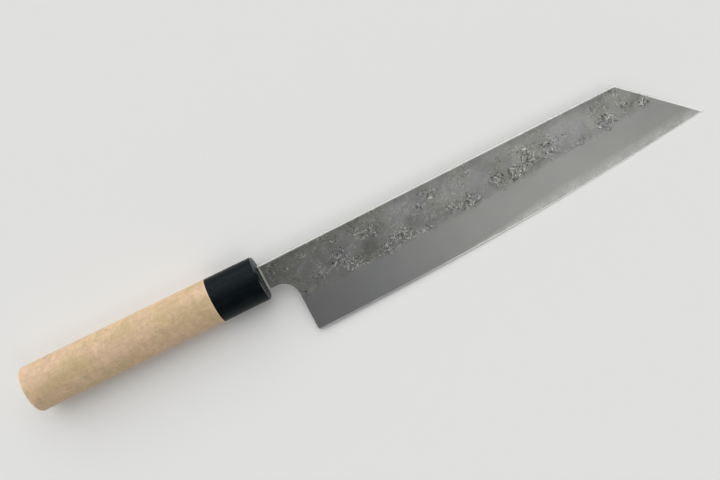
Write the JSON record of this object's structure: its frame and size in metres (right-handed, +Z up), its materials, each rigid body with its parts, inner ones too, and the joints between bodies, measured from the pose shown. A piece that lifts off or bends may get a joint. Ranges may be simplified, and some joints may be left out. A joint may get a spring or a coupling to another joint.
{
  "type": "kiritsuke knife",
  "caption": "Kitchen knife with a tall laminated blade, sloped tip, nearly flat edge and finger notch, in an oval pale wood handle with a black horn ferrule.",
  "frame": {"origin": "on the table, under the middle of the knife's box, with the knife lying as it rests", "axes": "+X towards the point along the table, +Y towards the spine side, +Z up from the table"},
  "size_m": [0.3924, 0.0548, 0.0242],
  "materials": {
    "core_steel": "satin ground",
    "cladding": "pear-skin forge finish above a satin ground bevel",
    "bedding": "matt resin",
    "horn": "polished black horn",
    "magnolia": "bare sanded"
  },
  "bodies": {
    "root": {"core_steel": "core_steel", "cladding_right": "cladding", "cladding_left": "cladding", "tang_bedding": "bedding", "ferrule": "horn", "grip": "magnolia"}
  },
  "joints": []
}
